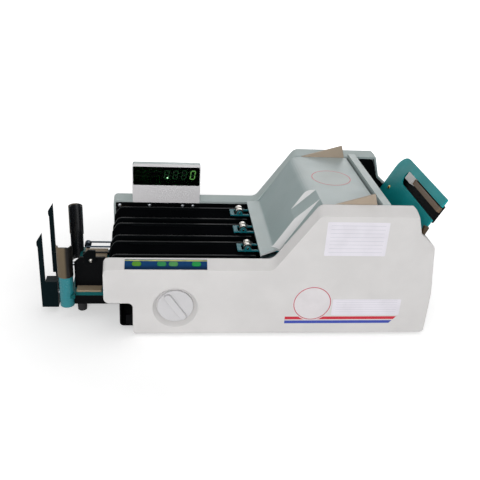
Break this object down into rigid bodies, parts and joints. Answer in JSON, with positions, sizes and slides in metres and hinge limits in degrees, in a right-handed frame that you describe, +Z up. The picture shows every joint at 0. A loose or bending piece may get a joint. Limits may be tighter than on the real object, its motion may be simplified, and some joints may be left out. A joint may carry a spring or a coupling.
{
  "type": "money counting machine",
  "caption": "Desk-top note counter with a sloped hopper, a hinged hood, a belt deck, an open stacker, a digit display, keys and a hand knob.",
  "frame": {"origin": "under the middle of the machine's box, on the plane that it stands on", "axes": "+X along the machine from the stacker to the hopper, +Y from the front side to the rear side, +Z up"},
  "size_m": [0.5182, 0.21, 0.1981],
  "materials": {
    "casing": "fine-textured light grey moulding",
    "hood_grey": "satin grey moulding",
    "frame_beige": "satin beige moulding",
    "black_steel": "semi-gloss black enamel",
    "black_plastic": "glossy black moulding",
    "teal_paint": "gloss teal enamel",
    "bronze_paint": "satin bronze-brown enamel",
    "steel": "turned and brushed",
    "chrome": "polished",
    "bush_brass": "plain turned",
    "rubber": "matt",
    "board": "green solder mask",
    "window": "dark transparent filter",
    "keypad": "printed blue film",
    "keys": "green silicone"
  },
  "bodies": {
    "machine": {"front_cover": "casing", "rear_cover": "casing", "end_cover": "casing", "cross_bar": "casing", "display_housing": "casing", "stack_pad": "frame_beige", "base_tray": "black_steel", "front_frame": "black_steel", "rear_frame": "black_steel", "deck_plate": "black_steel", "stacker_base": "black_steel", "hopper_wall": "black_steel", "slot_channel": "black_steel", "front_rail": "black_plastic", "middle_rail": "black_plastic", "rear_rail": "black_plastic", "mains_inlet": "black_plastic", "mains_switch": "black_plastic", "hopper_plate": "teal_paint", "pinch_brackets": "teal_paint", "stack_tray": "teal_paint", "stack_guides": "teal_paint", "guide_sleeves": "bronze_paint", "slot_rail": "bronze_paint", "hopper_clip": "bronze_paint", "hinge_pin": "steel", "wall_screws": "steel", "pinch_bar": "steel", "note_guide": "steel", "fixed_rods": "steel", "drive_motor": "steel", "transformer": "steel", "shaft_bushes": "bush_brass", "deck_belts": "rubber", "retard_shaft": "rubber", "drive_belt": "rubber", "feet": "rubber", "control_board": "board", "display_board": "board", "display_window": "window", "keypad_strip": "keypad"},
    "crank": {"main_shaft": "steel", "hand_knob": "casing"},
    "rotor": {"motor_pulley": "steel"},
    "drive_rollers": {"belt_drive_shaft": "steel"},
    "nose_rollers": {"nose_shaft": "steel"},
    "feed_rollers": {"feed_shaft": "rubber"},
    "pinch_set": {"pinch_rollers": "chrome"},
    "hood_cover": {"hood": "hood_grey", "hood_frame": "frame_beige"},
    "key_a": {"key_1": "keys"},
    "key_b": {"key_2": "keys"},
    "key_c": {"key_3": "keys"},
    "key_d": {"key_4": "keys"},
    "guide": {"width_guide": "casing"},
    "stop": {"back_stop": "black_plastic"},
    "arm": {"note_arm": "steel"},
    "lever": {"stack_lever": "black_plastic"},
    "rocker": {"switch_rocker": "black_plastic"}
  },
  "joints": [
    {"name": "main_turn", "type": "hinge", "parent": "machine", "child": "crank", "pos_m": [-0.08193, 0, 0.042], "axis": [0, 1, 0], "continuous": true},
    {"name": "motor_turn", "type": "hinge", "parent": "machine", "child": "rotor", "pos_m": [0.12837, 0, 0.039], "axis": [0, 1, 0], "continuous": true},
    {"name": "belt_drive_turn", "type": "hinge", "parent": "machine", "child": "drive_rollers", "pos_m": [0.01437, 0, 0.0892], "axis": [0, 1, 0], "continuous": true},
    {"name": "nose_turn", "type": "hinge", "parent": "machine", "child": "nose_rollers", "pos_m": [-0.15363, 0, 0.0892], "axis": [0, 1, 0], "continuous": true},
    {"name": "feed_turn", "type": "hinge", "parent": "machine", "child": "feed_rollers", "pos_m": [0.19237, 0, 0.099], "axis": [0, 1, 0], "continuous": true},
    {"name": "pinch_turn", "type": "hinge", "parent": "machine", "child": "pinch_set", "pos_m": [0.01137, 0, 0.1068], "axis": [0, 1, 0], "continuous": true},
    {"name": "hood_open", "type": "hinge", "parent": "machine", "child": "hood_cover", "pos_m": [0.16587, 0, 0.174], "axis": [0, 1, 0], "range_deg": [0, 28]},
    {"name": "key_1_press", "type": "slide", "parent": "machine", "child": "key_a", "axis": [0, 0.6196, -0.7849], "range_m": [0, 0.0008], "stiffness_N_per_m": 400, "springref_m": -0.0004},
    {"name": "key_2_press", "type": "slide", "parent": "machine", "child": "key_b", "axis": [0, 0.6196, -0.7849], "range_m": [0, 0.0008], "stiffness_N_per_m": 400, "springref_m": -0.0004},
    {"name": "key_3_press", "type": "slide", "parent": "machine", "child": "key_c", "axis": [0, 0.6196, -0.7849], "range_m": [0, 0.0008], "stiffness_N_per_m": 400, "springref_m": -0.0004},
    {"name": "key_4_press", "type": "slide", "parent": "machine", "child": "key_d", "axis": [0, 0.6196, -0.7849], "range_m": [0, 0.0008], "stiffness_N_per_m": 400, "springref_m": -0.0004},
    {"name": "guide_slide", "type": "slide", "parent": "machine", "child": "guide", "axis": [0, -1, 0], "range_m": [0, 0.085]},
    {"name": "stop_slide", "type": "slide", "parent": "machine", "child": "stop", "axis": [1, 0, 0], "range_m": [0, 0.014]},
    {"name": "arm_swing", "type": "hinge", "parent": "machine", "child": "arm", "pos_m": [-0.16613, 0, 0.078], "axis": [0, 1, 0], "range_deg": [-10, 10], "stiffness_Nm_per_rad": 0.2, "springref_deg": 0.6},
    {"name": "lever_swing", "type": "hinge", "parent": "machine", "child": "lever", "pos_m": [-0.19163, -0.049, 0.08], "axis": [0, 1, 0], "range_deg": [-20, 20]},
    {"name": "rocker_tip", "type": "hinge", "parent": "machine", "child": "rocker", "pos_m": [0.25057, 0, 0.035], "axis": [0, 0, 1], "range_deg": [0, 16]}
  ],
  "couplings": [
    {"joint": "motor_turn", "follows": "main_turn", "ratio": 2.2222},
    {"joint": "belt_drive_turn", "follows": "main_turn", "ratio": 4},
    {"joint": "nose_turn", "follows": "main_turn", "ratio": 4},
    {"joint": "feed_turn", "follows": "main_turn", "ratio": 1.6667},
    {"joint": "pinch_turn", "follows": "main_turn", "ratio": -8.5818}
  ]
}
